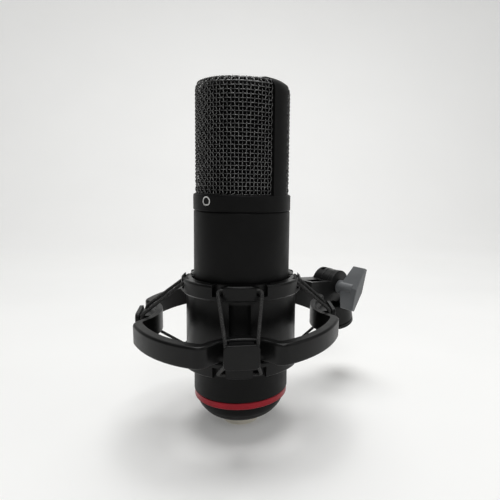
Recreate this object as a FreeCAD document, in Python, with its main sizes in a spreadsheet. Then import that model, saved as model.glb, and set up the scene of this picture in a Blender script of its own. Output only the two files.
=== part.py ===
import FreeCAD, Part
import math
import os
import Sketcher
from FreeCAD import Placement, Rotation, Vector

# Side-address condenser microphone standing on its connector, held in an elastic shock mount.
# Row frame: origin on the microphone's axis at the connector's lower rim, +Z up,
# -Y towards the mount's front cord clip, +X to the right of it. Millimetres.

doc = FreeCAD.newDocument("condenser_microphone")

# ---------------------------------------------------------------- driving dimensions
DIMENSIONS = {
    # connector and lower end
    "shell_radius": 9.3, "shell_bore": 8.1, "shell_proud": 3.4, "shell_top": 15.0,
    "pin_radius": 1.2, "pin_pitch": 4.0, "cap_bottom": 3.6, "cap_top": 15.6, "cap_radius": 23.9,
    "accent_top": 19.2,
    # body
    "body_radius": 24.9, "body_top": 114.2,
    "plate_radius": 23.2, "plate_thick": 2.5, "rail_wide": 5.0, "rail_thick": 2.5, "rail_offset": 17.0,
    "board_wide": 36.0, "board_thick": 1.6, "board_tall": 78.0, "board_bottom": 27.0,
    # head
    "collar_top": 122.4, "floor_thick": 2.2,
    "yoke_half": 5.2, "yoke_thick": 2.0, "yoke_corner": 7.0, "head_top": 179.2,
    "mesh_radius": 24.1, "mesh_thick": 0.9, "mesh_corner": 3.2, "mesh_top": 178.2, "mesh_gap": 0.4,
    "capsule_radius": 17.0, "capsule_thick": 8.0, "capsule_height": 152.0,
    # cradle
    "cradle_radius": 28.8, "cradle_bore": 26.0, "cradle_bottom": 34.0, "cradle_top": 79.8,
    "rim_radius": 31.3, "rim_tall": 7.6, "notch_wide": 3.4, "notch_deep": 5.4, "notch_angle": 21.7,
    "window_wide": 10.4, "window_low": 43.5, "window_high": 70.3,
    "grip_radius": 1.4, "grip_circle": 26.4,
    # outer ring and clips
    "ring_radius": 54.5, "ring_bore": 50.0, "ring_half": 5.2, "valley_radius": 20.0, "valley_centre": 62.8,
    "valley_bore": 23.4, "shoulder_radius": 6.0, "edge_radius": 1.2,
    "clip_half_wide": 8.0, "clip_half_tall": 5.75, "clip_face": 51.8, "clip_thick": 1.9,
    "clip_corner": 2.3, "clip_edge": 0.45, "neck_half_wide": 5.6, "neck_half_tall": 4.0,
    # tilt joint and stand socket
    "ear_radius": 10.4, "hinge_reach": 80.0, "hinge_rise": 2.4, "bolt_radius": 3.0,
    "barrel_radius": 10.9, "barrel_start": 11.6, "barrel_end": 28.6, "socket_radius": 8.0,
    "knob_radius": 4.4, "cord_radius": 0.9,
}
sheet = doc.addObject("Spreadsheet::Sheet", "dims")
for row, (alias, value) in enumerate(DIMENSIONS.items(), start=1):
    sheet.set("A%d" % row, alias)
    sheet.set("B%d" % row, str(value))
    sheet.setAlias("B%d" % row, alias)
doc.recompute()


def size(alias):
    """A driving dimension read back from the sheet."""
    return float(getattr(sheet, alias))


# Directions, in degrees counter-clockwise from +X.
YOKE_AZIMUTH = -40.5
MARK_AZIMUTH = -133.4
CRADLE_TURN = -1.7
SWIVEL_AZIMUTH = 40.5
SOCKET_DROP = 74.0
KNOB_LEAN = 27.0

# The outer ring hangs in its cords a little off the microphone's axis and tipped up at the back.
RING_POSE = Placement(
    Vector(-1.66, 0.0, 56.4),
    Rotation(Vector(1, 0, 0), 3.86).multiply(Rotation(Vector(0, 0, 1), 2.17)),
)
HEAD_POSE = Placement(Vector(0, 0, 0), Rotation(Vector(0, 0, 1), YOKE_AZIMUTH))
CRADLE_POSE = Placement(Vector(0, 0, 0), Rotation(Vector(0, 0, 1), CRADLE_TURN))
# Swivel frame: X outwards from the ring, Y along the hinge towards the nut, knob at -Y.
SWIVEL_IN_RING = Placement(
    Vector(
        size("hinge_reach") * math.cos(math.radians(SWIVEL_AZIMUTH)),
        size("hinge_reach") * math.sin(math.radians(SWIVEL_AZIMUTH)),
        size("hinge_rise"),
    ),
    Rotation(Vector(0, 0, 1), SWIVEL_AZIMUTH),
)
SWIVEL_POSE = RING_POSE.multiply(SWIVEL_IN_RING)
QUARTERS = {"front": -90.0, "right": 0.0, "back": 90.0, "left": 180.0}
ALONG_HINGE = Rotation(Vector(1, 0, 0), 90)

nodes = []
counter = {"n": 0}


# ---------------------------------------------------------------- small building blocks
def scratch_name(kind):
    counter["n"] += 1
    return "%s_%03d" % (kind, counter["n"])


def bind(obj, prop, value):
    """A text value is an expression on the sheet; a number is set as it is."""
    if isinstance(value, str):
        obj.setExpression(prop, value)
    else:
        setattr(obj, prop, value)


def place(x=0.0, y=0.0, z=0.0, turn=0.0):
    return Placement(Vector(x, y, z), Rotation(Vector(0, 0, 1), turn))


def cylinder(radius, height, placement=place(), low=None):
    obj = doc.addObject("Part::Cylinder", scratch_name("Cylinder"))
    bind(obj, "Radius", radius)
    bind(obj, "Height", height)
    obj.Placement = placement
    if low is not None:
        obj.setExpression("Placement.Base.z", low)
    return obj


def box(length, width, height, placement=place()):
    obj = doc.addObject("Part::Box", scratch_name("Box"))
    bind(obj, "Length", length)
    bind(obj, "Width", width)
    bind(obj, "Height", height)
    obj.Placement = placement
    return obj


def fuse(*parts):
    obj = doc.addObject("Part::MultiFuse", scratch_name("Fuse"))
    obj.Shapes = list(parts)
    obj.Refine = True
    return obj


def cut(base, *tools):
    obj = doc.addObject("Part::Cut", scratch_name("Cut"))
    obj.Base = base
    obj.Tool = tools[0] if len(tools) == 1 else fuse(*tools)
    return obj


def common(one, other):
    obj = doc.addObject("Part::Common", scratch_name("Common"))
    obj.Base = one
    obj.Tool = other
    return obj


def rounded(base, radius, wanted):
    """Fillet of the edges of a finished object for which wanted(edge) is true."""
    doc.recompute()
    obj = doc.addObject("Part::Fillet", scratch_name("Fillet"))
    obj.Base = base
    picks = [i for i, edge in enumerate(base.Shape.Edges, start=1) if wanted(edge)]
    obj.Edges = [(i, radius, radius) for i in picks]
    return obj


def node(name, obj, placement=None):
    """The finished object of one sub-part: its Label is the node's name."""
    obj.Label = name
    if placement is not None:
        obj.Placement = placement
    nodes.append(obj)
    return obj


def sketch_edges(sketch, outline):
    """Closed outline from (x, z) points; (x, z, mx, mz) reaches its point by an arc through (mx, mz)."""
    start = Vector(outline[-1][0], outline[-1][1], 0)
    for item in outline:
        end = Vector(item[0], item[1], 0)
        if len(item) == 4:
            sketch.addGeometry(Part.Arc(start, Vector(item[2], item[3], 0), end), False)
        else:
            sketch.addGeometry(Part.LineSegment(start, end), False)
        start = end


def turned(outline, low="0"):
    """A turned piece: the (radius, height) outline revolved about Z and lifted to its place."""
    body = doc.addObject("PartDesign::Body", scratch_name("Body"))
    sketch = body.newObject("Sketcher::SketchObject", scratch_name("Profile"))
    plane = [f for f in body.Origin.OriginFeatures if f.Role == "XZ_Plane"][0]
    sketch.AttachmentSupport = [(plane, "")]
    sketch.MapMode = "FlatFace"
    sketch_edges(sketch, outline)
    turn = body.newObject("PartDesign::Revolution", scratch_name("Revolution"))
    turn.Profile = sketch
    turn.ReferenceAxis = (sketch, ["V_Axis"])
    turn.Angle = 360.0
    body.setExpression("Placement.Base.z", low)
    return body


def tube(outer, inner, low, high):
    """A plain tube between two heights, all four given as expressions."""
    wall = cylinder(outer, "(%s) - (%s)" % (high, low), low=low)
    bore = cylinder(inner, "(%s) - (%s)" % (high, low), low=low)
    return cut(wall, bore)


# ---------------------------------------------------------------- connector and lower end
# Nickel-plated three-pin male shell; the lowest ring stands proud of the end cap.
shell_flange = cylinder(11.5, 1.5, low="dims.shell_top - 1.5")
shell_ring = cylinder("dims.shell_radius", "dims.shell_proud")
shell_root = cylinder("dims.shell_radius - 0.55", "dims.shell_top")
shell_bore = cylinder("dims.shell_bore", "dims.shell_top")
node("xlr_shell", cut(fuse(shell_ring, shell_root, shell_flange), shell_bore))

PIN_ANGLES = (35.0, 145.0, 270.0)


def pin_place(angle, height):
    reach = size("pin_pitch")
    turn = math.radians(angle)
    return place(reach * math.cos(turn), reach * math.sin(turn), height)


insert_disc = cylinder("dims.shell_bore - 0.05", 4.0, place(z=9.0))
insert_holes = [cylinder("dims.pin_radius", 6.0, pin_place(a, 8.0)) for a in PIN_ANGLES]
node("xlr_insert", cut(insert_disc, *insert_holes))
pins = [cylinder("dims.pin_radius - 0.02", 13.6, pin_place(a, 1.2)) for a in PIN_ANGLES]
node("xlr_pins", fuse(*pins))

# Turned black end cap, dished inside round the connector's flange.
node("end_cap", turned([
    (10.8, 0.1), (15.6, 2.1, 13.4, 1.0), (20.6, 6.2, 18.4, 3.8), (22.7, 9.9, 21.9, 7.9),
    (22.9, 10.9), (size("cap_radius"), 11.4), (size("cap_radius"), 12.0),
    (18.6, 12.0), (18.6, 9.2), (11.6, 9.2), (11.6, 6.9), (9.4, 6.9), (9.4, 0.0), (10.4, 0.0),
], "dims.cap_bottom"))

# Anodised accent ring between cap and body.
node("accent_ring", turned([
    (24.2, 0.0), (24.6, 0.4), (24.6, 3.2), (24.2, 3.6), (20.0, 3.6), (20.0, 0.0),
], "dims.cap_top"))

# ---------------------------------------------------------------- body
node("body_tube", turned([
    (24.5, 0.0), (24.9, 0.4), (24.9, 94.0), (24.5, 94.69, 24.79, 94.4), (24.3, 95.0),
    (23.4, 95.0), (23.4, 0.0),
], "dims.accent_top"))
node("chassis_base", cylinder("dims.plate_radius", "dims.plate_thick", low="dims.accent_top"))
node("chassis_top", cylinder("dims.plate_radius", "dims.plate_thick",
                             low="dims.body_top - dims.plate_thick"))
RAIL_TALL = "dims.body_top - dims.accent_top - 2 * dims.plate_thick"
rails = []
for side in (-1, 1):
    rail = box("dims.rail_wide", "dims.rail_thick", RAIL_TALL)
    rail.setExpression("Placement.Base.x", "%d * dims.rail_offset - dims.rail_wide / 2" % side)
    rail.setExpression("Placement.Base.y", "-dims.rail_thick / 2")
    rail.setExpression("Placement.Base.z", "dims.accent_top + dims.plate_thick")
    rails.append(rail)
node("chassis_rails", fuse(*rails))
board = box("dims.board_wide", "dims.board_thick", "dims.board_tall")
board.setExpression("Placement.Base.x", "-dims.board_wide / 2")
board.setExpression("Placement.Base.y", "dims.rail_thick / 2")
board.setExpression("Placement.Base.z", "dims.board_bottom")
node("circuit_board", board)
BOARD_FACE = size("rail_thick") / 2 + size("board_thick")
TOWARDS_BACK = Rotation(Vector(1, 0, 0), -90)
cans = [cylinder(4.0, 9.0, Placement(Vector(x, BOARD_FACE, z), TOWARDS_BACK))
        for x, z in ((-8.0, 44.0), (4.0, 60.0), (-6.0, 82.0))]
node("board_capacitors", fuse(*cans))
node("output_transformer", box(18.0, 13.5, 16.0, place(-9.0, size("rail_thick") / 2 - 13.5, 32.0)))

# ---------------------------------------------------------------- head frame
# One casting: collar, floor and the flat hoop that runs up both sides and over the top.
collar = turned([
    (24.7, 0.0), (25.1, 0.4), (25.1, 7.4), (24.7, 8.09, 24.99, 7.8), (24.5, 8.2), (22.6, 8.2),
    (22.6, 2.2), (0.0, 2.2), (0.0, 0.0),
], "dims.body_top")


def dome(radius, corner, top, thick, low):
    """Hollow head shell: straight wall, rounded shoulder, flat top, open below."""
    inner = corner - thick
    bend = math.sqrt(0.5)
    shoulder = radius - corner
    return turned([
        (radius, low), (radius, top - corner),
        (shoulder, top, shoulder + corner * bend, top - corner + corner * bend),
        (0.0, top), (0.0, top - thick), (shoulder, top - thick),
        (shoulder + inner, top - corner, shoulder + inner * bend, top - corner + inner * bend),
        (shoulder + inner, low),
    ])


hoop_shell = dome(size("body_radius"), size("yoke_corner"), size("head_top"), size("yoke_thick"), 121.0)
hoop_slab = box(60.0, "2 * dims.yoke_half", 70.0, HEAD_POSE)
hoop_slab.Placement = HEAD_POSE.multiply(place(-30.0, -size("yoke_half"), 115.0))
node("head_frame", fuse(collar, common(hoop_shell, hoop_slab)))

# Woven steel grilles, one each side of the hoop, standing inside the collar's rim.
for name, side in (("front_grille", -1), ("rear_grille", 1)):
    shell = dome(size("mesh_radius"), size("mesh_corner"), size("mesh_top"), size("mesh_thick"),
                 size("collar_top") + 0.02)
    edge = size("yoke_half") + size("mesh_gap")
    half = box(60.0, 30.0, 70.0, HEAD_POSE.multiply(place(-30.0, edge if side > 0 else -edge - 30.0, 115.0)))
    node(name, common(shell, half))
liner = dome(22.5, 5.6, 176.6, 0.5, size("body_top") + size("floor_thick"))
node("grille_liner", common(liner, cylinder(40.0, 100.0, place(z=100.0))))

# Capsule: brass body between two ring-clamped gold diaphragms, on a moulded saddle.
def along_front(offset, height=None):
    """Placement of a cylinder whose axis runs towards the front grille, starting at offset."""
    level = size("capsule_height") if height is None else height
    return HEAD_POSE.multiply(Placement(Vector(0, -offset, level), ALONG_HINGE))


HALF_CAPSULE = size("capsule_thick") / 2
node("capsule_body", cylinder("dims.capsule_radius", "dims.capsule_thick", along_front(-HALF_CAPSULE)))
for name, start in (("front", HALF_CAPSULE), ("rear", -HALF_CAPSULE - 1.4)):
    clamp = cut(cylinder("dims.capsule_radius", 1.4, along_front(start)),
                cylinder(14.2, 1.4, along_front(start)))
    node("capsule_ring_" + name, clamp)
node("diaphragm_front", cylinder(14.1, 0.3, along_front(HALF_CAPSULE)))
node("diaphragm_rear", cylinder(14.1, 0.3, along_front(-HALF_CAPSULE - 0.3)))
screws = []
for turn in range(0, 360, 45):
    across = 15.6 * math.cos(math.radians(turn + 22.5))
    level = size("capsule_height") + 15.6 * math.sin(math.radians(turn + 22.5))
    for start in (HALF_CAPSULE + 1.4, -HALF_CAPSULE - 2.0):
        spot = HEAD_POSE.multiply(Placement(Vector(across, -start, level), ALONG_HINGE))
        screws.append(cylinder(0.8, 0.6, spot))
node("capsule_screws", fuse(*screws))

FLOOR = size("body_top") + size("floor_thick")
saddle_base = cylinder(9.0, 2.5, place(z=FLOOR))
saddle_stem = box(12.0, 5.0, 22.0, HEAD_POSE.multiply(place(-6.0, -2.5, FLOOR)))
saddle_hoop = cylinder(19.4, 6.0, along_front(-3.0))
saddle_keep = box(60.0, 20.0, 30.0, HEAD_POSE.multiply(place(-30.0, -10.0, FLOOR)))
saddle_bore = cylinder(17.05, 10.0, along_front(-5.0))
saddle = cut(fuse(saddle_base, saddle_stem, common(saddle_hoop, saddle_keep)), saddle_bore)
node("capsule_saddle", saddle)
leads = [cylinder(0.6, 20.0, HEAD_POSE.multiply(place(x, 0.0, FLOOR))) for x in (-14.0, 14.0)]
node("capsule_leads", fuse(*leads))

# Inlaid polar-pattern sign on the collar's front.
mark_ring = cut(cylinder(2.35, 0.6), cylinder(1.75, 0.6))
MARK_POSE = Placement(Vector(0, 0, 0), Rotation(Vector(0, 0, 1), MARK_AZIMUTH)).multiply(
    Placement(Vector(24.98, 0, 118.6), Rotation(Vector(0, 1, 0), 90)))
mark_ring.Placement = MARK_POSE
node("pattern_mark", common(mark_ring, tube(25.18, 25.12, "dims.body_top", "dims.collar_top")))

# ---------------------------------------------------------------- cradle
# Moulded sleeve round the body: thick rims top and bottom, notched for the four cord loops.
LOW, HIGH = size("cradle_bottom"), size("cradle_top")
WALL, RIM, TALL, SOFT = size("cradle_radius"), size("rim_radius"), size("rim_tall"), 1.1
BEND = SOFT * (1 - math.sqrt(0.5))
cradle_blank = turned([
    (RIM - SOFT - 0.3, LOW), (RIM - 0.3, LOW + SOFT, RIM - 0.3 - BEND, LOW + BEND),
    (RIM - 0.3, LOW + TALL - 0.5), (RIM - 0.8, LOW + TALL), (WALL, LOW + TALL),
    (WALL, HIGH - TALL), (RIM - 0.8, HIGH - TALL), (RIM, HIGH - TALL + 0.8),
    (RIM, HIGH - SOFT), (RIM - SOFT, HIGH, RIM - BEND, HIGH - BEND),
    (size("cradle_bore") + 0.5, HIGH), (size("cradle_bore"), HIGH - 0.5),
    (size("cradle_bore"), LOW + 0.5), (size("cradle_bore") + 0.5, LOW),
])
cradle_cuts = []
for turn in (-90.0, 90.0):
    window = box(12.0, "dims.window_wide", "dims.window_high - dims.window_low")
    window.Placement = place(turn=turn).multiply(place(22.0, -size("window_wide") / 2, size("window_low")))
    cradle_cuts.append(window)
# A cord's run lies in a channel behind its tab and comes out through the notch at each end.
RUN_HALF, RUN_REACH, RUN_INSET = 10.6, 28.8, 2.2
CHANNEL_FLOOR = RUN_INSET + size("cord_radius") + 1.5
for quarter in QUARTERS.values():
    for floor in (HIGH - size("notch_deep"), LOW - 1.0):
        for side in (-1, 1):
            spoke = place(turn=quarter + side * size("notch_angle"))
            slot = box(6.0, "dims.notch_wide", "dims.notch_deep + 1")
            slot.Placement = spoke.multiply(place(28.3, -size("notch_wide") / 2, floor))
            cradle_cuts.append(slot)
    for floor in (HIGH - CHANNEL_FLOOR, LOW - 1.0):
        channel = box(3.0, 2 * RUN_HALF + 3.0, CHANNEL_FLOOR + 1.0)
        channel.Placement = place(turn=quarter).multiply(place(RUN_REACH - 1.5, -RUN_HALF - 1.5, floor))
        cradle_cuts.append(channel)
GRIP_ANGLES = (0.0, 180.0, 60.0, 120.0, 240.0, 300.0)
for turn in GRIP_ANGLES:
    spot = place(turn=turn).multiply(place(size("grip_circle"), 0.0, 30.0))
    cradle_cuts.append(cylinder("dims.grip_radius + 0.02", 60.0, spot))
node("cradle", cut(cradle_blank, *cradle_cuts), CRADLE_POSE)

# Round rubber strips pressed into the cradle's bore; they grip the microphone's body.
grips = []
for turn in GRIP_ANGLES:
    tall = 43.5 if turn in (0.0, 180.0) else 39.0
    spot = place(turn=turn).multiply(place(size("grip_circle"), 0.0, 35.5))
    grips.append(cylinder("dims.grip_radius", tall, spot))
node("grip_strips", fuse(*grips), CRADLE_POSE)

# ---------------------------------------------------------------- outer ring
# Moulded band with four inward valleys, one for each cord loop, and a fork for the tilt joint.
def lobed_disc(radius, valley, corner, tall, low):
    """A disc with four round valleys cut into its rim; the corners between them are rounded."""
    disc = cylinder(radius, tall, place(z=low))
    bites = []
    for quarter in QUARTERS.values():
        spot = place(turn=quarter).multiply(place(size("valley_centre"), 0.0, low - 1.0))
        bites.append(cylinder(valley, "(%s) + 2" % tall if isinstance(tall, str) else tall + 2.0, spot))
    notched = cut(disc, *bites)

    def upright_corner(edge):
        return abs(edge.tangentAt(edge.FirstParameter).z) > 0.99 and edge.Length < 40.0

    return rounded(notched, corner, upright_corner)


ring_solid = lobed_disc("dims.ring_radius", "dims.valley_radius", size("shoulder_radius"),
                        "2 * dims.ring_half", -size("ring_half"))


def outer_rim(edge):
    middle = edge.valueAt((edge.FirstParameter + edge.LastParameter) / 2)
    return abs(abs(middle.z) - size("ring_half")) < 0.01


ring_soft = rounded(ring_solid, size("edge_radius"), outer_rim)
ring_core = lobed_disc("dims.ring_bore", "dims.valley_bore", 2.5, 20.0, -10.0)
band = cut(ring_soft, ring_core)


def prism(points, direction, pose):
    """A flat polygon swept along a straight direction, as a plain shape in its own pose."""
    corners = [Vector(*p) for p in points]
    face = Part.Face(Part.makePolygon(corners + corners[:1]))
    obj = doc.addObject("Part::Feature", scratch_name("Prism"))
    obj.Shape = face.extrude(Vector(*direction))
    obj.Placement = pose
    return obj


def in_fork(length, width, height, x, s, z):
    """A box of the fork: x from the hinge outwards, s along the hinge towards the knob."""
    return box(length, width, height, SWIVEL_IN_RING.multiply(place(x, -s - width, z)))


def hinge_disc(radius, thick, s, pose=SWIVEL_IN_RING):
    spot = pose.multiply(Placement(Vector(0, -s, 0), ALONG_HINGE))
    return cylinder(radius, thick, spot)


def round_edge(edge):
    return edge.Curve.TypeId == "Part::GeomCircle"


LEFT_EAR, TONGUE, RIGHT_EAR = (-6.2, 6.6), (0.5, 5.0), (5.6, 3.4)
FORK_FACE = RIGHT_EAR[0] + RIGHT_EAR[1]
FORK_LOW, WEB_INNER, WEB_OUTER = -8.0, -29.0, -11.6


def sloped_arm(outer, start, thick):
    """Side plate of the fork: level underside, top falling outwards from the band to the ear."""
    outline = [(WEB_INNER, FORK_LOW), (outer, FORK_LOW), (outer, 5.0), (-10.0, 5.3), (WEB_INNER, 8.4)]
    if outer < -10.0:
        outline = [(WEB_INNER, FORK_LOW), (outer, FORK_LOW), (outer, 5.6), (WEB_INNER, 8.4)]
    corners = [(x, -start, z) for x, z in outline]
    return prism(corners, (0.0, -thick, 0.0), SWIVEL_IN_RING)


fork_parts = [sloped_arm(WEB_OUTER, LEFT_EAR[0], FORK_FACE - LEFT_EAR[0])]
for start, thick in (LEFT_EAR, RIGHT_EAR):
    fork_parts.append(rounded(hinge_disc("dims.ear_radius", thick, start), 0.6, round_edge))
    fork_parts.append(sloped_arm(0.0, start, thick))
core_again = lobed_disc("dims.ring_bore", "dims.valley_bore", 2.5, 30.0, -15.0)
relief = in_fork(12.0, 5.4, 20.0, -26.0, 1.6, 1.0)
nut_window = in_fork(5.4, 2.4, 6.0, -3.4, -4.4, 7.6)
fork = cut(fuse(*fork_parts), core_again, relief, nut_window)
bolt_hole = hinge_disc("dims.bolt_radius + 0.05", 30.0, -10.0)
nut_seat_spot = SWIVEL_IN_RING.multiply(Placement(Vector(0, -LEFT_EAR[0], 0), ALONG_HINGE))


def hexagon(flats, thick, spot):
    obj = doc.addObject("Part::Prism", scratch_name("Prism"))
    obj.Polygon = 6
    obj.Circumradius = flats / math.sqrt(3.0)
    obj.Height = thick
    obj.Placement = spot
    return obj


nut_seat = hexagon(10.1, 4.2, nut_seat_spot)
node("outer_ring", cut(fuse(band, fork), bolt_hole, nut_seat), RING_POSE)

# Hex nut and clamping bolt of the tilt joint.
NUT_SPOT = SWIVEL_POSE.multiply(Placement(Vector(0, -LEFT_EAR[0] - 0.3, 0), ALONG_HINGE))
nut_bore = cylinder("dims.bolt_radius", 3.9, NUT_SPOT)
node("hex_nut", cut(hexagon(10.0, 3.9, NUT_SPOT), nut_bore))
node("tilt_bolt", hinge_disc("dims.bolt_radius - 0.02", 22.0, -5.8, SWIVEL_POSE))

# ---------------------------------------------------------------- cord clips
# T-shaped clip in each valley: a rounded plate on a neck, the cords pass each side of the neck.
for name, quarter in QUARTERS.items():
    plate = box("dims.clip_thick", "2 * dims.clip_half_wide", "2 * dims.clip_half_tall")
    plate.setExpression("Placement.Base.x", "dims.clip_face - dims.clip_thick")
    plate.setExpression("Placement.Base.y", "-dims.clip_half_wide")
    plate.setExpression("Placement.Base.z", "-dims.clip_half_tall")

    def plate_corner(edge):
        return abs(edge.tangentAt(edge.FirstParameter).x) > 0.99

    def plate_face(edge):
        middle = edge.valueAt((edge.FirstParameter + edge.LastParameter) / 2)
        return abs(middle.x - size("clip_face")) < 0.01

    soft_plate = rounded(plate, size("clip_corner"), plate_corner)
    soft_plate = rounded(soft_plate, size("clip_edge"), plate_face)
    neck = box("dims.clip_face - 42.0", "2 * dims.neck_half_wide", "2 * dims.neck_half_tall")
    neck.Placement = place(41.0, -size("neck_half_wide"), -size("neck_half_tall"))
    horn = box(1.5, "2 * dims.clip_half_wide", 6.4)
    horn.Placement = place(46.2, -size("clip_half_wide"), -3.2)
    reach = cylinder("dims.valley_radius - 0.03", 30.0, place(size("valley_centre"), 0.0, -15.0))
    clip = fuse(soft_plate, common(fuse(neck, horn), reach))
    node("cord_clip_" + name, clip, RING_POSE.multiply(place(turn=quarter)))

# ---------------------------------------------------------------- tilting stand socket and knob
# Tongue between the fork's ears, with a threaded barrel pointing down and outwards.
tongue = hinge_disc("dims.ear_radius - 0.2", TONGUE[1], TONGUE[0], SWIVEL_POSE)
DROP = Rotation(Vector(0, 1, 0), 90.0 + SOCKET_DROP)
TONGUE_MIDDLE = TONGUE[0] + TONGUE[1] / 2
BARREL_POSE = SWIVEL_POSE.multiply(Placement(Vector(0, -TONGUE_MIDDLE, 0), DROP))
neck_block = box(15.0, TONGUE[1], 8.0, BARREL_POSE.multiply(place(-7.5, -TONGUE[1] / 2, 6.0)))
BARREL, START, END = size("barrel_radius"), size("barrel_start"), size("barrel_end")
barrel = turned([
    (BARREL - 1.0, START), (BARREL, START + 1.0, BARREL - 0.3, START + 0.3),
    (BARREL, END - 3.4), (BARREL - 0.5, END - 3.2), (BARREL - 0.5, END - 2.9), (BARREL, END - 2.7),
    (BARREL, END - 0.5), (BARREL - 0.5, END), (0.0, END), (0.0, START),
])
barrel.setExpression("Placement.Base.z", None)
barrel.Placement = BARREL_POSE
thread = cylinder("dims.socket_radius", 30.0, BARREL_POSE.multiply(place(z=13.6)))
pivot = hinge_disc("dims.bolt_radius + 0.05", 30.0, -10.0, SWIVEL_POSE)
node("stand_socket", cut(fuse(tongue, neck_block, barrel), thread, pivot))

# Brass thread adapter screwed into the barrel, flush with its mouth.
adapter = cylinder("dims.socket_radius - 0.05", "dims.barrel_end - 14.8", BARREL_POSE.multiply(place(z=14.8)))
adapter_bore = cylinder(4.76, 30.0, BARREL_POSE.multiply(place(z=12.0)))
node("thread_adapter", cut(adapter, adapter_bore))

# Thumb knob: round hub and a two-winged bar, thick in the middle and thin at its tips.
KNOB_START = FORK_FACE + 0.1
KNOB_POSE = SWIVEL_POSE.multiply(Placement(Vector(0, 0, 0), Rotation(Vector(0, 1, 0), KNOB_LEAN)))
WING_UP, WING_DOWN, WING_START, WING_END, HUB_END = 15.0, 13.2, 15.5, 24.8, 21.0
hub = hinge_disc("dims.knob_radius", HUB_END - KNOB_START, KNOB_START, KNOB_POSE)
side_view = prism([
    (-8.0, -12.6, -4.0), (-8.0, -WING_START, -WING_DOWN), (-8.0, -WING_END, -WING_DOWN),
    (-8.0, -WING_END, WING_UP), (-8.0, -WING_START, WING_UP), (-8.0, -12.6, 4.0),
], (16.0, 0.0, 0.0), KNOB_POSE)
end_view = prism([
    (-1.3, -40.0, -WING_DOWN), (1.3, -40.0, -WING_DOWN), (3.9, -40.0, 0.0),
    (1.3, -40.0, WING_UP), (-1.3, -40.0, WING_UP), (-3.9, -40.0, 0.0),
], (0.0, 34.0, 0.0), KNOB_POSE)
knob_bore = hinge_disc("dims.bolt_radius", 10.0, KNOB_START - 2.0, KNOB_POSE)
wing = rounded(common(side_view, end_view), 0.5, lambda edge: edge.Length > 0)
node("thumb_knob", cut(fuse(hub, wing), knob_bore))

# ---------------------------------------------------------------- elastic cords
def route(points, radii):
    """Straight runs joined by tangent arcs: one radius for each inner point."""
    edges = []
    start = points[0]
    length = 0.0
    for i in range(1, len(points) - 1):
        corner = points[i]
        back = (points[i - 1] - corner).normalize()
        ahead = (points[i + 1] - corner).normalize()
        half = back.getAngle(ahead) / 2
        trim = radii[i - 1] / math.tan(half)
        enter = corner + back * trim
        leave = corner + ahead * trim
        bisector = (back + ahead).normalize()
        middle = corner + bisector * (radii[i - 1] / math.sin(half) - radii[i - 1])
        edges.append(Part.LineSegment(start, enter).toShape())
        edges.append(Part.Arc(enter, middle, leave).toShape())
        length += (enter - start).Length + radii[i - 1] * (math.pi - 2 * half)
        start = leave
    edges.append(Part.LineSegment(start, points[-1]).toShape())
    length += (points[-1] - start).Length
    return Part.Wire(edges), length


def cord(name, points, radii):
    """A round elastic cord; its volume must be its section times its length."""
    wire, length = route(points, radii)
    radius = size("cord_radius")
    heading = (points[1] - points[0]).normalize()
    ring = Part.Wire([Part.Circle(points[0], heading, radius).toShape()])
    solid = wire.makePipeShell([ring], True, False)
    expected = math.pi * radius ** 2 * length
    print("%s length %.1f mm, volume %.1f of %.1f, radii %s"
          % (name, length, solid.Volume, expected, ", ".join("%.1f" % r for r in radii)))
    obj = doc.addObject("Part::Feature", scratch_name("Cord"))
    obj.Shape = solid
    return node(name, obj)


STRAND_GAP, STRAND_REACH, BEND_HEIGHT = 7.0, 48.85, 4.7
for name, quarter in QUARTERS.items():
    in_ring = RING_POSE.multiply(place(turn=quarter))
    in_cradle = CRADLE_POSE.multiply(place(turn=quarter))
    for half, sign, rim in (("upper", 1, size("cradle_top")), ("lower", -1, size("cradle_bottom"))):
        run_height = rim - sign * RUN_INSET
        left, right = [], []
        for side, strand in ((-1, left), (1, right)):
            strand.append(in_ring.multVec(Vector(STRAND_REACH, side * STRAND_GAP, sign * 0.03)))
            strand.append(in_ring.multVec(Vector(STRAND_REACH, side * STRAND_GAP, sign * BEND_HEIGHT)))
            strand.append(in_cradle.multVec(Vector(RUN_REACH, side * RUN_HALF, run_height)))
        cord("cord_%s_%s" % (name, half), left + right[::-1], [2.6, 1.6, 1.6, 2.6])

# ---------------------------------------------------------------- check and write
doc.recompute()
for obj in doc.Objects:
    if "Invalid" in obj.State or "Error" in obj.State:
        raise RuntimeError("%s (%s) failed: %s" % (obj.Name, obj.Label, obj.State))
os.makedirs("parts", exist_ok=True)
for obj in nodes:
    if obj.Shape.isNull() or not obj.Shape.isValid():
        raise RuntimeError("%s has no valid shape" % obj.Label)
    obj.Shape.exportStep("parts/%s.step" % obj.Label)
    bounds = obj.Shape.BoundBox
    print("%-20s solids %d volume %9.1f z %.1f..%.1f" % (
        obj.Label, len(obj.Shape.Solids), obj.Shape.Volume, bounds.ZMin, bounds.ZMax))
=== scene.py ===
import math

import bpy
from mathutils import Matrix, Vector


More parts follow.
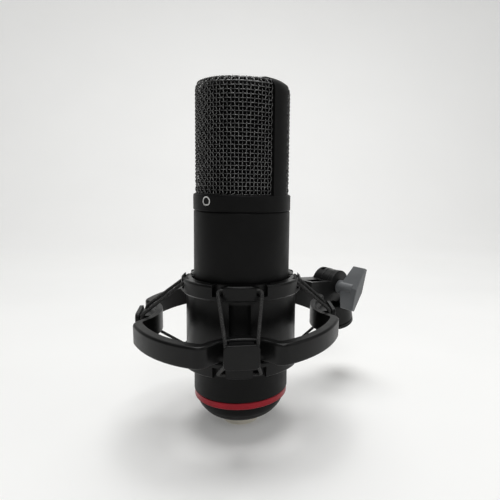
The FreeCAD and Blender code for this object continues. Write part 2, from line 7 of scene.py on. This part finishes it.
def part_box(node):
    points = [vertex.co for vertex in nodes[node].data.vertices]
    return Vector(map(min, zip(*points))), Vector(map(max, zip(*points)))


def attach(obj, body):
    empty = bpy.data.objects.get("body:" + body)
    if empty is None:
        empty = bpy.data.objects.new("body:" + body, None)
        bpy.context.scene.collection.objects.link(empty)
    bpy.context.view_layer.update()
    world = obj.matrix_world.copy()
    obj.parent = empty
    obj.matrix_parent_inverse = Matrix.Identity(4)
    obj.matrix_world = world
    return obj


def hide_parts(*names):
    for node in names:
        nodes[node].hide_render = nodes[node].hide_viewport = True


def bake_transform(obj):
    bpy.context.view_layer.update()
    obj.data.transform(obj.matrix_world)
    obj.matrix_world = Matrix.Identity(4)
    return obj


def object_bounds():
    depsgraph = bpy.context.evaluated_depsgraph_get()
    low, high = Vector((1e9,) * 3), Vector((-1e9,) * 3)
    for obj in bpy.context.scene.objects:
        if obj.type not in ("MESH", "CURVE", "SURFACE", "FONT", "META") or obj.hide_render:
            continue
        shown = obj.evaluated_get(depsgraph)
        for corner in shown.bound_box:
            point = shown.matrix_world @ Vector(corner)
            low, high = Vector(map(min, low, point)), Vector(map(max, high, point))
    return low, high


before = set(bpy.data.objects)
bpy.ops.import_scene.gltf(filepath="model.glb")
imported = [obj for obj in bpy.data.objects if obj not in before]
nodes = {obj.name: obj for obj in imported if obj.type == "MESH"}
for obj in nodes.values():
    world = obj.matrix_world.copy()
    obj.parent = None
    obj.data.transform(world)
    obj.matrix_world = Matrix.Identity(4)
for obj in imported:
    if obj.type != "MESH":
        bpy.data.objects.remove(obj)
cad_low, cad_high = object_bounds()


# ---- Connector under the microphone -----------------------------------------------------------
# Satin nickel shell round a black insert with three gold pins. The materials' own small language
# comes first: sockets that do sums, and a surface that adds any node with one call.
class Value:
    """An output socket of a material's node tree; arithmetic on it adds Math nodes."""

    def __init__(self, surface, socket):
        self.surface = surface
        self.socket = socket

    def maths(self, operation, first, second):
        return self.surface.node("ShaderNodeMath", {"operation": operation}, {0: first, 1: second})

    def __add__(self, other):
        return self.maths("ADD", self, other)

    def __radd__(self, other):
        return self.maths("ADD", other, self)

    def __sub__(self, other):
        return self.maths("SUBTRACT", self, other)

    def __rsub__(self, other):
        return self.maths("SUBTRACT", other, self)

    def __mul__(self, other):
        return self.maths("MULTIPLY", self, other)

    def __rmul__(self, other):
        return self.maths("MULTIPLY", other, self)


class Surface:
    """A procedural material on object coordinates, finished by its Principled node."""

    def __init__(self, name, **principled):
        self.material = bpy.data.materials.new(name)
        self.material.use_nodes = True
        self.tree = self.material.node_tree
        self.shader = self.tree.nodes["Principled BSDF"]
        for label, value in principled.items():
            self.shader.inputs[label.replace("_", " ")].default_value = value
        self.place = self.node("ShaderNodeTexCoord", {}, {}, "Object")

    def node(self, kind, settings, sockets, output=0):
        made = self.tree.nodes.new(kind)
        for label, value in settings.items():
            setattr(made, label, value)
        for key, value in sockets.items():
            if isinstance(value, Value):
                self.tree.links.new(value.socket, made.inputs[key])
            else:
                made.inputs[key].default_value = value
        return Value(self, made.outputs[output])

    def noise(self, scale, detail=3.0, roughness=0.5, stretch=(1, 1, 1)):
        spot = self.node("ShaderNodeMapping", {}, {"Vector": self.place, "Scale": stretch})
        return self.node("ShaderNodeTexNoise", {}, {
            "Vector": spot, "Scale": scale, "Detail": detail, "Roughness": roughness})

    def spread(self, value, low, high, least, most):
        """A number that goes from least to most while value goes from low to high."""
        return self.node("ShaderNodeMapRange", {}, {0: value, 1: low, 2: high, 3: least, 4: most})

    def colours(self, value, low, high, dark, light):
        share = self.spread(value, low, high, 0.0, 1.0)
        return self.node("ShaderNodeMix", {"data_type": "RGBA"}, {
            0: share, 6: (*dark, 1.0), 7: (*light, 1.0)}, 2)

    def bump(self, height, strength, distance):
        return self.node("ShaderNodeBump", {}, {
            "Height": height, "Strength": strength, "Distance": distance})

    def feed(self, **varying):
        for label, value in varying.items():
            self.tree.links.new(value.socket, self.shader.inputs[label.replace("_", " ")])
        return self.material


def moulded(name, dark, light, grain, rough, strength=0.35, **principled):
    """Moulded plastic or baked enamel: fine even grain, slow drifts of shade and of gloss."""
    surface = Surface(name, **principled)
    wear = surface.noise(240.0, 5.0) - 0.5
    return surface.feed(
        Base_Color=surface.colours(surface.noise(60.0, 4.0), 0.3, 0.7, dark, light),
        Roughness=rough + 0.22 * wear,
        Normal=surface.bump(surface.noise(grain, 2.0), strength, 0.00006))


def metal(name, dark, light, rough, stretch, grain=900.0, strength=0.25, metallic=1.0):
    """Turned or drawn metal: fine lines along the tool's path, with gloss that drifts."""
    surface = Surface(name, Metallic=metallic)
    lines = surface.noise(grain, 4.0, 0.6, stretch)
    return surface.feed(
        Base_Color=surface.colours(surface.noise(120.0, 4.0), 0.3, 0.7, dark, light),
        Roughness=rough + 0.3 * (lines - 0.5),
        Normal=surface.bump(lines, strength, 0.00003))


def finish(material, *names):
    """Gives CAD nodes their one material."""
    for name in names:
        slots = nodes[name].data.materials
        slots.clear()
        slots.append(material)


nickel = metal("nickel", (0.86, 0.81, 0.70), (0.96, 0.91, 0.79), 0.34, (0.05, 0.05, 1.0),
               metallic=0.3)
contact_gold = metal("contact_gold", (0.70, 0.48, 0.18), (0.85, 0.62, 0.26), 0.22, (1, 1, 0.1))
insert_plastic = moulded("insert_plastic", (0.006, 0.006, 0.006), (0.010, 0.010, 0.010),
                         1500.0, 0.55)
finish(nickel, "xlr_shell")
finish(contact_gold, "xlr_pins")
finish(insert_plastic, "xlr_insert")

# ---- End cap and body tube --------------------------------------------------------------------
# Fine matte black enamel over metal, with a low sheen that only shows towards the sides.
enamel = moulded("black_enamel", (0.0024, 0.0024, 0.0024), (0.0040, 0.0040, 0.0040), 5200.0, 0.46,
                 0.25, Specular_IOR_Level=0.15)
finish(enamel, "end_cap", "body_tube")

# ---- Accent ring ------------------------------------------------------------------------------
# Red anodised band between cap and tube, turned, with faint lines round it.
anodised = metal("red_anodised", (0.26, 0.004, 0.012), (0.36, 0.006, 0.018), 0.34,
                 (0.04, 0.04, 1.0), metallic=0.5)
finish(anodised, "accent_ring")

# ---- Chassis and circuit board ----------------------------------------------------------------
# Zinc-plated plates and rails inside the tube carry a green board with its capacitors and the
# output transformer.
zinc = metal("zinc_plate", (0.45, 0.46, 0.46), (0.58, 0.58, 0.57), 0.35, (1, 1, 0.05))
board = moulded("board_resin", (0.010, 0.050, 0.022), (0.016, 0.075, 0.032), 900.0, 0.38)
sleeve = moulded("capacitor_sleeve", (0.012, 0.012, 0.030), (0.020, 0.020, 0.045), 600.0, 0.28)
can = metal("transformer_can", (0.26, 0.26, 0.27), (0.36, 0.36, 0.36), 0.42, (1, 0.08, 1))
finish(zinc, "chassis_base", "chassis_top", "chassis_rails")
finish(board, "circuit_board")
finish(sleeve, "board_capacitors")
finish(can, "output_transformer")

# ---- Head frame and liner ---------------------------------------------------------------------
# The enamelled collar and hoop carry the grilles; a dark open foam sits just inside the wire.
foam = moulded("liner_foam", (0.0015, 0.0015, 0.0015), (0.003, 0.003, 0.003), 1400.0, 0.95, 0.8,
               Specular_IOR_Level=0.05)
finish(enamel, "head_frame")
finish(foam, "grille_liner")

# ---- Capsule ----------------------------------------------------------------------------------
# Brass body with a gold film on each side under a clamping ring, on a black saddle.
brass = metal("capsule_brass", (0.52, 0.36, 0.14), (0.68, 0.50, 0.22), 0.28, (1, 1, 1))
gold_film = metal("diaphragm_gold", (0.78, 0.55, 0.20), (0.90, 0.68, 0.30), 0.16, (1, 1, 1),
                  strength=0.1)
steel = metal("steel", (0.34, 0.34, 0.34), (0.48, 0.48, 0.47), 0.36, (1, 1, 0.1))
leads = moulded("lead_copper", (0.25, 0.02, 0.02), (0.34, 0.03, 0.03), 1200.0, 0.45)
finish(brass, "capsule_body", "capsule_ring_front", "capsule_ring_rear")
finish(gold_film, "diaphragm_front", "diaphragm_rear")
finish(steel, "capsule_screws")
finish(insert_plastic, "capsule_saddle")
finish(leads, "capsule_leads")

# ---- Grilles ----------------------------------------------------------------------------------
# Plain-woven black wire, one half each side of the hoop, rounded over at the top where a flat
# woven disc closes it. Uprights and rounds pass over and under each other at every crossing.
MM = 0.001
HEAD_AXES = Matrix.Rotation(math.radians(-40.5), 4, "Z")
grille_low, grille_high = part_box("front_grille")
wire_radius = 0.26 * MM
mesh_circle = 23.5 * MM
mesh_corner = 2.6 * MM
flat_radius = mesh_circle - mesh_corner
mesh_foot = grille_low.z + 0.3 * MM
mesh_roof = grille_high.z - 2 * wire_radius
hoop_gap = 5.75 * MM
round_pitch = 1.92 * MM
wall_height = mesh_roof - mesh_corner - mesh_foot
corner_length = mesh_corner * math.pi / 2
row_count = round((wall_height + corner_length) / round_pitch)
half_angle = math.acos(hoop_gap / mesh_circle)
column_count = 34
column_step = 2 * half_angle / column_count
UPRIGHT_CRIMP = 4.5 * wire_radius
ROUND_CRIMP = 1.5 * wire_radius
END_SHARE = 0.3
ROOF_PITCH = 0.98 * round_pitch
FEWEST_CROSSINGS = 4


def on_mesh(angle, climb, lift):
    """Point of the pressed mesh: angle round the head from its middle, climb up its profile."""
    if climb <= wall_height:
        radius, height = mesh_circle + lift, mesh_foot + climb
    else:
        bend = (climb - wall_height) / mesh_corner
        radius = flat_radius + (mesh_corner + lift) * math.cos(bend)
        height = mesh_roof - mesh_corner + (mesh_corner + lift) * math.sin(bend)
    return Vector((radius * math.sin(angle), -radius * math.cos(angle), height))


def wires(name, routes, radius, smooth=4):
    """One mesh of round wires, each along its own smooth spline."""
    curve = bpy.data.curves.new(name, "CURVE")
    curve.dimensions = "3D"
    curve.bevel_depth = radius
    curve.bevel_resolution = 1
    curve.use_fill_caps = True
    for route in routes:
        spline = curve.splines.new("NURBS")
        spline.points.add(len(route) - 1)
        for point, place in zip(spline.points, route):
            point.co = (*place, 1.0)
        spline.order_u = 4
        spline.use_endpoint_u = True
        spline.resolution_u = smooth
    piece = bpy.data.objects.new(name, curve)
    bpy.context.collection.objects.link(piece)
    bpy.ops.object.select_all(action="DESELECT")
    bpy.context.view_layer.objects.active = piece
    piece.select_set(True)
    bpy.ops.object.convert(target="MESH")
    bpy.ops.object.shade_smooth()
    return piece


def crimped(count, parity, crimp):
    """Lifts along one wire, over and under by turns; its two cut ends lie flatter."""
    return [crimp * (-1) ** (step + parity) * (END_SHARE if step in (0, count - 1) else 1)
            for step in range(count)]


def weave_half():
    """Routes of one half's wires: uprights, rounds, then the two sets of the flat top."""
    climb_step = (wall_height + corner_length) / row_count
    rows, columns = range(row_count + 1), range(column_count + 1)
    angles = [(column - column_count / 2) * column_step for column in columns]
    routes = []
    for column in columns:
        lifts = crimped(len(rows), column, UPRIGHT_CRIMP)
        routes.append([on_mesh(angles[column], row * climb_step, lifts[row]) for row in rows])
    for row in rows:
        lifts = crimped(len(columns), row + 1, ROUND_CRIMP)
        routes.append([on_mesh(angles[column], row * climb_step, lifts[column])
                       for column in columns])
    across = int(flat_radius / ROOF_PITCH)
    deep = int((flat_radius - hoop_gap) / ROOF_PITCH)
    spans = range(-across, across + 1)
    sets = [[(i, j) for j in range(deep + 1)] for i in spans]
    sets += [[(i, j) for i in spans] for j in range(deep + 1)]
    for number, line in enumerate(sets):
        kept = [(i, j) for i, j in line
                if math.hypot(i * ROOF_PITCH, hoop_gap + j * ROOF_PITCH) <= flat_radius]
        if len(kept) < FEWEST_CROSSINGS:
            continue
        runs_back = number < len(spans)
        lifts = crimped(len(kept), sum(kept[0]) + (0 if runs_back else 1),
                        UPRIGHT_CRIMP if runs_back else ROUND_CRIMP)
        routes.append([Vector((i * ROOF_PITCH, -hoop_gap - j * ROOF_PITCH, mesh_roof + lift))
                       for (i, j), lift in zip(kept, lifts)])
    return routes


wire_coat = Surface("wire_coat", Metallic=1.0)
wire_coat.feed(
    Base_Color=wire_coat.colours(wire_coat.noise(500.0, 3.0), 0.35, 0.7,
                                 (0.085, 0.085, 0.085), (0.19, 0.19, 0.187)),
    Roughness=wire_coat.spread(wire_coat.noise(900.0, 3.0), 0.3, 0.7, 0.20, 0.32))
half_routes = weave_half()
HALVES = (("front_weave", "front_grille", 0.0), ("rear_weave", "rear_grille", math.pi))
for piece_name, cad_name, turn in HALVES:
    place = HEAD_AXES @ Matrix.Rotation(turn, 4, "Z")
    half = wires(piece_name, [[place @ p for p in route] for route in half_routes], wire_radius)
    half.data.materials.append(wire_coat.material)
    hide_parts(cad_name)
    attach(half, "microphone")

# ---- Pattern sign -----------------------------------------------------------------------------
# White enamel egg-shaped loop, a plain stand-in for the sign that names the front of the head.
mark_low, mark_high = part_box("pattern_mark")
mark_centre = (mark_low + mark_high) / 2
mark_angle = math.atan2(mark_centre.x, -mark_centre.y)
mark_reach = 25.09 * MM
mark_size, mark_drop, mark_line = 1.92 * MM, 0.55 * MM, 0.30 * MM
MARK_STEPS, MARK_TAPER = 48, 0.62
mark_loop = []
for step in range(MARK_STEPS):
    turn = 2 * math.pi * step / MARK_STEPS
    radius = mark_size * (1 - MARK_TAPER * math.sin(turn))
    side, rise = radius * math.cos(turn), -radius * math.sin(turn) - mark_drop
    angle = mark_angle + side / mark_reach
    mark_loop.append(Vector((mark_reach * math.sin(angle), -mark_reach * math.cos(angle),
                             mark_centre.z + rise)))
sign = wires("pattern_sign", [mark_loop + mark_loop[:1]], mark_line, 2)
mark_enamel = Surface("mark_enamel", Roughness=0.4)
mark_enamel.feed(Base_Color=mark_enamel.colours(
    mark_enamel.noise(700.0), 0.3, 0.7, (0.66, 0.66, 0.64), (0.80, 0.80, 0.78)))
sign.data.materials.append(mark_enamel.material)
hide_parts("pattern_mark")
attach(sign, "microphone")

# ---- Cradle and grip strips -------------------------------------------------------------------
# Fine-textured black nylon with softened edges that catch the light, lined with rubber strips.
nylon = moulded("mount_nylon", (0.0028, 0.0028, 0.0028), (0.0050, 0.0050, 0.0050),
                2600.0, 0.33, 0.35, Specular_IOR_Level=0.21)
rubber = moulded("grip_rubber", (0.004, 0.004, 0.004), (0.007, 0.007, 0.007), 2000.0, 0.7)
finish(nylon, "cradle")
finish(rubber, "grip_strips")

# ---- Outer ring and cord clips ----------------------------------------------------------------
# The four-lobed band and the four rounded plates that hold the cords' outer bends.
finish(nylon, "outer_ring",
       "cord_clip_front", "cord_clip_right", "cord_clip_back", "cord_clip_left")

# ---- Stand socket and thread adapter ----------------------------------------------------------
# The same nylon round a brass sleeve that is only seen from below.
adapter_brass = metal("adapter_brass", (0.42, 0.30, 0.10), (0.58, 0.44, 0.18), 0.32, (1, 1, 0.05))
finish(nylon, "stand_socket")
finish(adapter_brass, "thread_adapter")

# ---- Tilt bolt, nut and thumb knob ------------------------------------------------------------
# Steel hardware, and a knob of a slightly cooler, lighter nylon than the rest.
knob_nylon = moulded("knob_nylon", (0.125, 0.131, 0.136), (0.160, 0.167, 0.172), 2200.0, 0.36, 0.35)
finish(steel, "hex_nut", "tilt_bolt")
finish(knob_nylon, "thumb_knob")

# ---- Elastic cords ----------------------------------------------------------------------------
# Four braided loops: along a channel behind each tab of the cradle, out through its notches, and
# down behind a clip on the band to the cradle's other rim.
RING_POSE = (Matrix.Translation(Vector((-1.66, 0, 56.4)) * MM)
             @ Matrix.Rotation(math.radians(3.86), 4, "X")
             @ Matrix.Rotation(math.radians(2.17), 4, "Z"))
CRADLE_POSE = Matrix.Rotation(math.radians(-1.7), 4, "Z")
cord_radius = 0.88 * MM
strand_gap, strand_reach, band_bend = 7.0 * MM, 48.85 * MM, 4.7 * MM
run_half, run_reach = 10.6 * MM, 28.8 * MM
rim_high, rim_low = 77.6 * MM, 36.2 * MM
fabric = Surface("cord_fabric", Roughness=0.8)
flecks = fabric.noise(1500.0, 4.0, 0.7)
fabric.feed(
    Base_Color=fabric.colours(flecks, 0.45, 0.72, (0.006, 0.006, 0.006), (0.070, 0.068, 0.066)),
    Normal=fabric.bump(flecks, 0.8, 0.0002))
QUARTERS = {"front": -90.0, "right": 0.0, "back": 90.0, "left": 180.0}


def corner(before, at, after, trim):
    """Four points that carry a straight run round one bend, trim from the bend each way."""
    back = (before - at).normalized() * trim
    ahead = (after - at).normalized() * trim
    return [at + back * 1.6, at + back, at + ahead, at + ahead * 1.6]


for name, quarter in QUARTERS.items():
    in_ring = RING_POSE @ Matrix.Rotation(math.radians(quarter), 4, "Z")
    in_cradle = CRADLE_POSE @ Matrix.Rotation(math.radians(quarter), 4, "Z")
    bends = []
    for side in (-1, 1):
        strand = [in_cradle @ Vector((run_reach, side * run_half, rim_high)),
                  in_ring @ Vector((strand_reach, side * strand_gap, band_bend)),
                  in_ring @ Vector((strand_reach, side * strand_gap, -band_bend)),
                  in_cradle @ Vector((run_reach, side * run_half, rim_low))]
        bends += strand if side < 0 else strand[::-1]
    trims = (1.3 * MM, 1.6 * MM, 1.6 * MM, 1.3 * MM) * 2
    loop = []
    for i, trim in enumerate(trims):
        loop += corner(bends[i - 1], bends[i], bends[(i + 1) % len(bends)], trim)
    start = (bends[-1] + bends[0]) / 2
    elastic = wires("elastic_" + name, [[start] + loop + [start]], cord_radius, 6)
    elastic.data.materials.append(fabric.material)
    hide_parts("cord_%s_upper" % name, "cord_%s_lower" % name)
    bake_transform(elastic)

# ---- Floor sweep ------------------------------------------------------------------------------
# Pale seamless paper that curves up behind. All of it glows with painted light: dim on the near
# floor, where the glow also lifts the contact shadows, and brightest on its upper part, like a lit
# studio wall.
SWEEP_START, SWEEP_RISE, SWEEP_TOP = 0.6, 1.4, 2.5
SWEEP_SIZE, SWEEP_CUTS, SWEEP_DROP = 6.0, 60, 0.2 * MM
bpy.ops.mesh.primitive_plane_add(size=SWEEP_SIZE)
floor = bpy.context.active_object
floor.name = "floor_sweep"
bpy.ops.object.mode_set(mode="EDIT")
bpy.ops.mesh.subdivide(number_cuts=SWEEP_CUTS)
bpy.ops.object.mode_set(mode="OBJECT")
for vertex in floor.data.vertices:
    past = max(0.0, vertex.co.y - SWEEP_START)
    vertex.co.z = min(SWEEP_TOP, past ** 2 * SWEEP_RISE) - SWEEP_DROP
bpy.ops.object.shade_smooth()
# The paper's emission is painted light, a glow on top of what the lamps give that grows from the
# near floor towards the back.
pale = Surface("floor_paper", Roughness=0.9, Emission_Strength=1.0)
sweep_glow_depth = pale.node("ShaderNodeSeparateXYZ", {}, {0: pale.place}, 1)
pale.feed(
    Base_Color=pale.colours(pale.noise(8.0, 2.0), 0.3, 0.7, (0.78, 0.78, 0.77), (0.80, 0.80, 0.79)),
    Emission_Color=pale.colours(sweep_glow_depth, 0.3, 1.3, (0.12, 0.12, 0.118), (0.42, 0.42, 0.415)))
floor.data.materials.append(pale.material)

# ---- World ------------------------------------------------------------------------------------
# A dim even room, so that black surfaces facing the camera stay black; past the paper's edge
# the camera sees it as pale as the paper.
world = bpy.context.scene.world or bpy.data.worlds.new("studio")
bpy.context.scene.world = world
world.use_nodes = True
room = world.node_tree
lit = room.nodes["Background"]
seen = room.nodes.new("ShaderNodeBackground")
LIGHT_GIVEN, LIGHT_SEEN = 0.13, 0.78
for backdrop, strength in ((lit, LIGHT_GIVEN), (seen, LIGHT_SEEN)):
    backdrop.inputs["Color"].default_value = (1.0, 0.997, 0.985, 1.0)
    backdrop.inputs["Strength"].default_value = strength
either = room.nodes.new("ShaderNodeMixShader")
rays = room.nodes.new("ShaderNodeLightPath")
room.links.new(rays.outputs["Is Camera Ray"], either.inputs[0])
room.links.new(lit.outputs[0], either.inputs[1])
room.links.new(seen.outputs[0], either.inputs[2])
room.links.new(either.outputs[0], room.nodes["World Output"].inputs["Surface"])
bpy.context.scene.view_settings.view_transform = "Standard"


# ---- Lights -----------------------------------------------------------------------------------
# A soft light above that gives the top edges their bright lines, a weak fill at the right, and a
# low one in front that keeps the near floor pale.
def soft_light(name, place, target, width, power):
    light = bpy.data.lights.new(name, "AREA")
    light.shape = "DISK"
    light.size = width
    light.energy = power
    lamp = bpy.data.objects.new(name, light)
    bpy.context.collection.objects.link(lamp)
    lamp.location = place
    lamp.rotation_mode = "QUATERNION"
    lamp.rotation_quaternion = (Vector(target) - Vector(place)).to_track_quat("-Z", "Y")


middle = (cad_low + cad_high) / 2
soft_light("overhead", (0.0, 0.15, 1.1), middle, 0.7, 9.2)
soft_light("right_fill", (0.9, -0.3, 0.6), middle, 0.7, 1.3)
soft_light("low_front", (0.0, -0.9, 0.9), (0.0, -0.2, 0.0), 0.5, 2.6)

# ---- Camera -----------------------------------------------------------------------------------
# In front and a little above, close, with the lens shifted so that uprights keep their slant.
camera_data = bpy.data.cameras.new("camera")
camera = bpy.data.objects.new("camera", camera_data)
bpy.context.collection.objects.link(camera)
bpy.context.scene.camera = camera
CAMERA_SPOT = (0.0, -0.248228, 0.128969)
yaw, pitch, roll = math.radians(7.836555), math.radians(6.655677), math.radians(1.318148)
forward = Vector((math.sin(yaw) * math.cos(pitch), math.cos(yaw) * math.cos(pitch),
                  -math.sin(pitch)))
right = Vector((math.cos(yaw), -math.sin(yaw), 0.0))
upward = right.cross(forward)
tilted_right = right * math.cos(roll) + upward * math.sin(roll)
tilted_up = -right * math.sin(roll) + upward * math.cos(roll)
camera.matrix_world = (Matrix.Translation(CAMERA_SPOT)
                       @ Matrix((tilted_right, tilted_up, -forward)).transposed().to_4x4())
camera_data.sensor_width = 36.0
camera_data.lens = 33.7046
camera_data.shift_x = -0.112312
camera_data.shift_y = -0.025176
camera_data.clip_start = 0.01
camera_data.clip_end = 50.0
